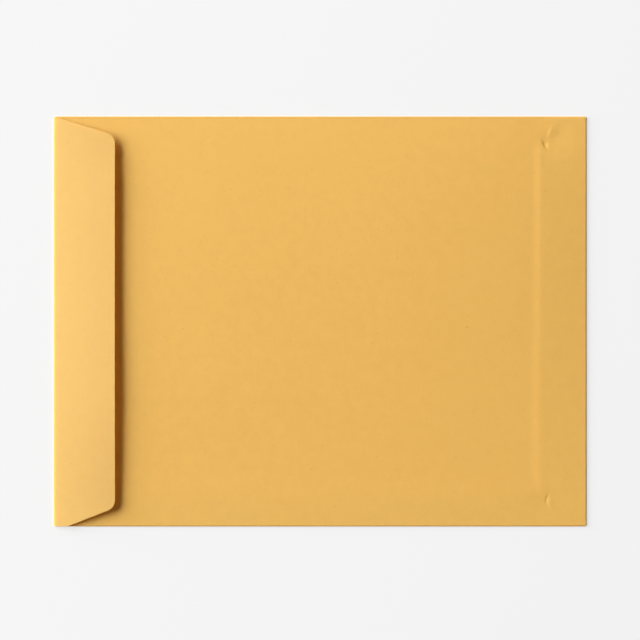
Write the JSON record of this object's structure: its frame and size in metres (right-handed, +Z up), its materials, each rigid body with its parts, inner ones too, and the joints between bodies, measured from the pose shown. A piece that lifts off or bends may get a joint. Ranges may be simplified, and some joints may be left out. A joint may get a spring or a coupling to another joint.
{
  "type": "paper envelope",
  "caption": "Open-end catalogue envelope of plain kraft paper, empty, with its seal flap folded over and standing slightly open.",
  "frame": {"origin": "middle of the address side, which lies on the table", "axes": "+X along the long side, from the seal flap's fold towards the bottom fold; +Y across, towards the plain long fold; +Z up, out of the back panel"},
  "size_m": [0.3302, 0.254, 0.0055],
  "materials": {
    "kraft_paper": "uncoated golden-brown kraft paper, matt, with fine fibre mottling"
  },
  "bodies": {
    "root": {"envelope": "kraft_paper"}
  },
  "joints": []
}
